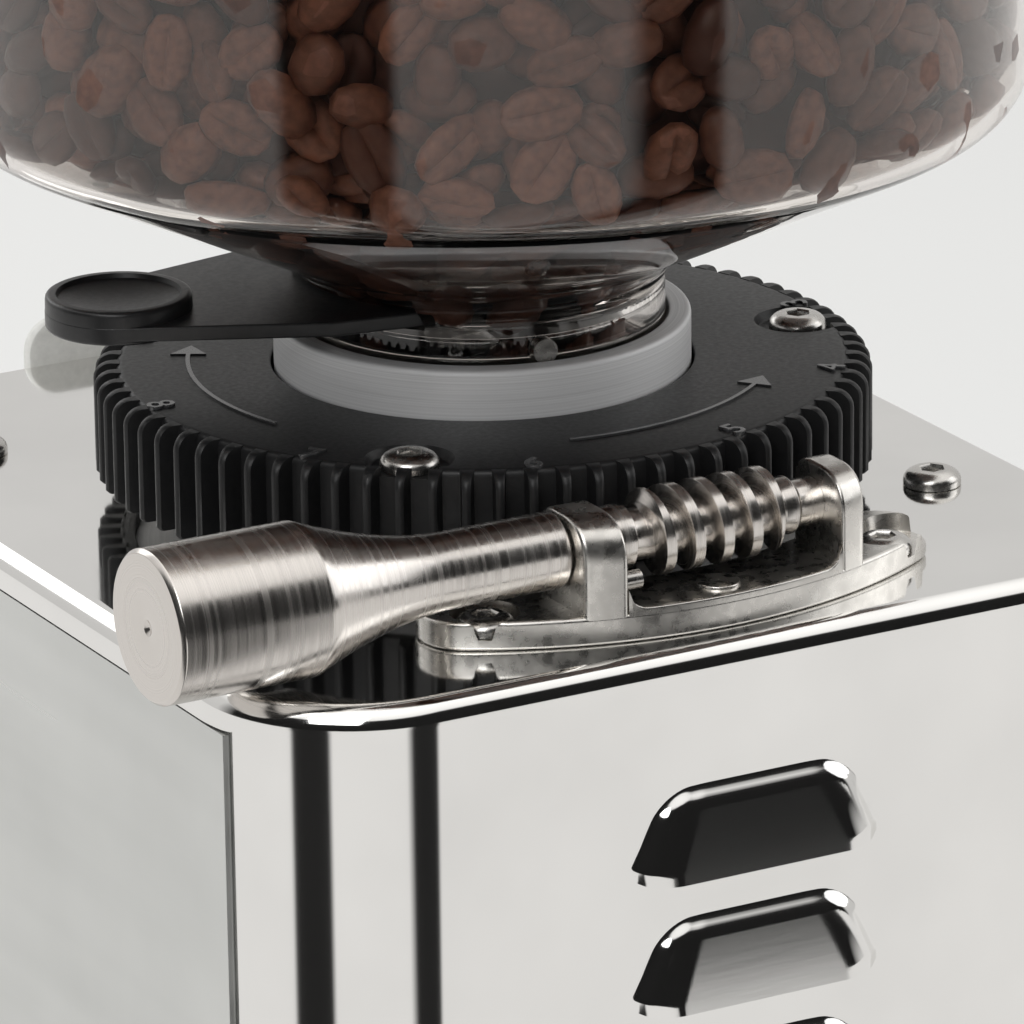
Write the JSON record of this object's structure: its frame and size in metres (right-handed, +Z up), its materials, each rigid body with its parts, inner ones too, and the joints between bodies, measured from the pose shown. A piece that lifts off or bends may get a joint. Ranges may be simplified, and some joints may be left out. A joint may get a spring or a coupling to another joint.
{
  "type": "burr coffee grinder",
  "caption": "On-demand flat burr coffee grinder: clear hopper with slide gate, toothed adjusting ring turned by a side worm, polished steel case, front spout and fork.",
  "frame": {"origin": "middle of the footprint, on the table under the rubber feet", "axes": "+X to the user's right (the worm knob's side), +Y to the back, +Z up along the burr axis"},
  "size_m": [0.1844, 0.2554, 0.4604],
  "materials": {
    "foot_rubber": "matte moulded rubber",
    "zinc_screw": "bright zinc-plated steel",
    "cast_base": "fine-blasted cast aluminium",
    "black_plastic": "fine-grained black moulding",
    "polished_steel": "mirror-polished stainless sheet",
    "satin_panel": "satin anodised light grey-green sheet",
    "pale_hood": "pale satin paint",
    "spout_alloy": "bead-blasted turned aluminium",
    "satin_steel": "satin stainless steel",
    "rocker_red": "glossy translucent red plastic",
    "contact_brass": "bright brass",
    "chamber_alloy": "machined cast aluminium",
    "spring_steel": "oiled spring steel",
    "lamination": "varnished electrical laminations",
    "winding_copper": "lacquered copper wire",
    "ground_steel": "ground bearing steel",
    "capacitor_case": "pale plastic can",
    "terminal_plastic": "ivory moulding",
    "burr_steel": "hardened and ground tool steel",
    "turned_aluminium": "satin turned aluminium",
    "ring_black": "grained black moulding",
    "nickel_bracket": "bright nickel over fine orange peel",
    "turned_steel": "fine-turned stainless steel",
    "smoke_clear": "clear lightly smoked plastic",
    "gate_black": "satin black moulding"
  },
  "bodies": {
    "housing": {"rubber_feet": "foot_rubber", "feet_screws": "zinc_screw", "base_plate": "cast_base", "body_shell": "polished_steel", "side_panel_right": "satin_panel", "side_panel_left": "satin_panel", "front_panel": "polished_steel", "panel_screws": "zinc_screw", "front_hood": "pale_hood", "coffee_chute": "black_plastic", "spout": "spout_alloy", "portafilter_fork": "satin_steel", "fork_screws": "zinc_screw", "button_spring": "spring_steel", "microswitch": "black_plastic", "switch_frame": "black_plastic", "mains_inlet": "black_plastic", "inlet_pins": "contact_brass", "grinding_chamber": "chamber_alloy", "plate_screws": "zinc_screw", "preload_spring": "spring_steel", "motor_upper_bell": "chamber_alloy", "motor_lower_bell": "chamber_alloy", "motor_bolts": "zinc_screw", "stator_core": "lamination", "stator_windings": "winding_copper", "upper_bearing": "ground_steel", "lower_bearing": "ground_steel", "capacitor": "capacitor_case", "terminal_block": "terminal_plastic", "worm_bracket": "nickel_bracket", "bracket_screws": "zinc_screw", "lock_screw": "zinc_screw"},
    "rotor": {"rotor_core": "lamination", "motor_shaft": "ground_steel", "cooling_fan": "black_plastic", "lower_burr_carrier": "chamber_alloy", "lower_burr": "burr_steel", "lower_burr_screws": "zinc_screw", "carrier_nut": "zinc_screw"},
    "ring": {"upper_burr": "burr_steel", "upper_burr_screws": "zinc_screw", "upper_burr_carrier": "turned_aluminium", "adjusting_ring": "ring_black", "ring_screws": "zinc_screw", "hopper_neck": "smoke_clear", "hopper_bowl": "smoke_clear", "hopper_screw": "zinc_screw"},
    "worm": {"worm_shaft": "turned_steel", "worm_thread": "turned_steel"},
    "gate": {"slide_gate": "gate_black"},
    "lid": {"hopper_lid": "smoke_clear", "lid_knob": "gate_black"},
    "tray": {"drip_tray": "black_plastic"},
    "button": {"activation_button": "black_plastic"},
    "rocker": {"rocker": "rocker_red"}
  },
  "joints": [
    {"name": "grind_adjust", "type": "hinge", "parent": "housing", "child": "ring", "pos_m": [-0.00175, 0.03725, 0.262], "axis": [0, 0, 1], "range_deg": [-108, 108]},
    {"name": "worm_spin", "type": "hinge", "parent": "housing", "child": "worm", "pos_m": [-0.00175, 0.104, 0.2754], "axis": [1, 0, 0], "range_deg": [-8100, 8100]},
    {"name": "motor_spin", "type": "hinge", "parent": "housing", "child": "rotor", "pos_m": [-0.00175, 0.03725, 0.14], "axis": [0, 0, 1], "continuous": true},
    {"name": "gate_slide", "type": "slide", "parent": "ring", "child": "gate", "axis": [0.9903, -0.1392, 0], "range_m": [0, 0.04]},
    {"name": "lid_lift", "type": "slide", "parent": "ring", "child": "lid", "axis": [0, 0, 1], "range_m": [0, 0.06]},
    {"name": "tray_lift", "type": "slide", "parent": "housing", "child": "tray", "axis": [0, 0, 1], "range_m": [0, 0.03]},
    {"name": "button_press", "type": "slide", "parent": "housing", "child": "button", "axis": [0, 1, 0], "range_m": [0, 0.004], "stiffness_N_per_m": 400, "springref_m": -0.002, "deforming": ["button_spring"]},
    {"name": "rocker_tilt", "type": "hinge", "parent": "housing", "child": "rocker", "pos_m": [0.07675, -0.02475, 0.12], "axis": [0, 1, 0], "range_deg": [-20, 0]}
  ],
  "couplings": [
    {"joint": "worm_spin", "follows": "grind_adjust", "ratio": 75}
  ]
}
